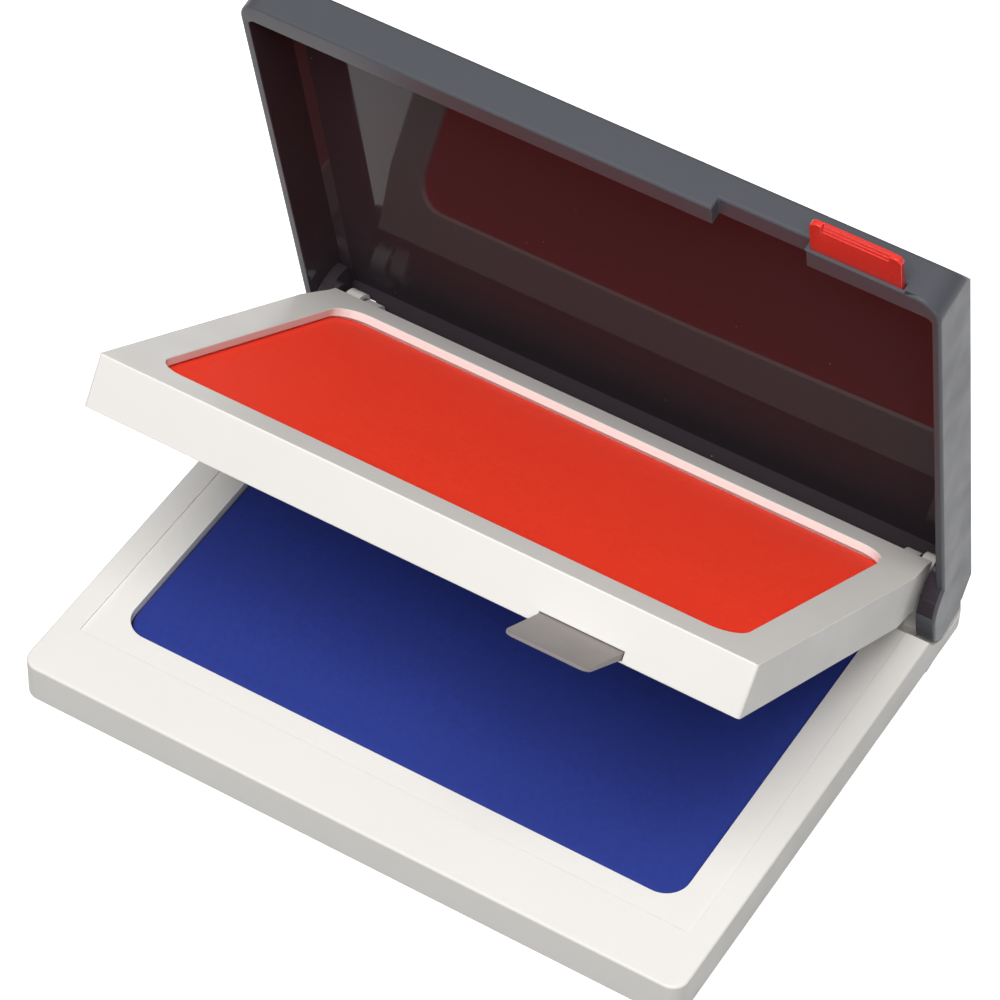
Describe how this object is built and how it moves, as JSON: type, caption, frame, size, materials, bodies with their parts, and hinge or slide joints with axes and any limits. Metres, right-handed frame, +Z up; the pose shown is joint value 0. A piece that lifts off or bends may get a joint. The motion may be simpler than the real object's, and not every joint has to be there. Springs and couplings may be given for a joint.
{
  "type": "ink pad",
  "caption": "Hinged desk ink pad: a low rectangular base with an inset pad, a tipping middle tray with a second inset pad, and a hinged dark lid with finger tabs.",
  "frame": {"origin": "middle of the base's resting face", "axes": "+X to the right along the long side, +Y from the finger tabs' side back to the hinge, +Z up"},
  "size_m": [0.106, 0.0854, 0.0938],
  "materials": {
    "off_white_abs": "fine moulded satin",
    "charcoal_abs": "polished inside, satin outside",
    "grey_tab": "satin",
    "red_tab": "semi-gloss",
    "blue_ink_cloth": "fine woven cloth soaked with ink",
    "red_ink_cloth": "fine woven cloth soaked with ink",
    "felt": "pressed felt",
    "pad_board": "plain",
    "steel": "ground"
  },
  "bodies": {
    "base": {"base_frame": "off_white_abs", "base_plate": "off_white_abs", "lower_pad_board": "pad_board", "lower_pad_felt": "felt", "lower_pad_cloth": "blue_ink_cloth", "hinge_pin_left": "steel", "hinge_pin_right": "steel", "tray_washer_left": "steel", "tray_washer_right": "steel", "lid_washer_left": "steel", "lid_washer_right": "steel"},
    "tray": {"tray_frame": "off_white_abs", "tray_floor": "off_white_abs", "upper_pad_board": "pad_board", "upper_pad_felt": "felt", "upper_pad_cloth": "red_ink_cloth", "tray_tab": "grey_tab"},
    "lid": {"lid_shell": "charcoal_abs", "lid_tab": "red_tab"}
  },
  "joints": [
    {"name": "tray_hinge", "type": "hinge", "parent": "base", "child": "tray", "pos_m": [0, 0.03715, 0.01115], "axis": [-1, 0, 0], "range_deg": [-32.4, 7.6]},
    {"name": "lid_hinge", "type": "hinge", "parent": "tray", "child": "lid", "pos_m": [0, 0.03715, 0.01115], "axis": [-1, 0, 0], "range_deg": [-44, 36]}
  ]
}
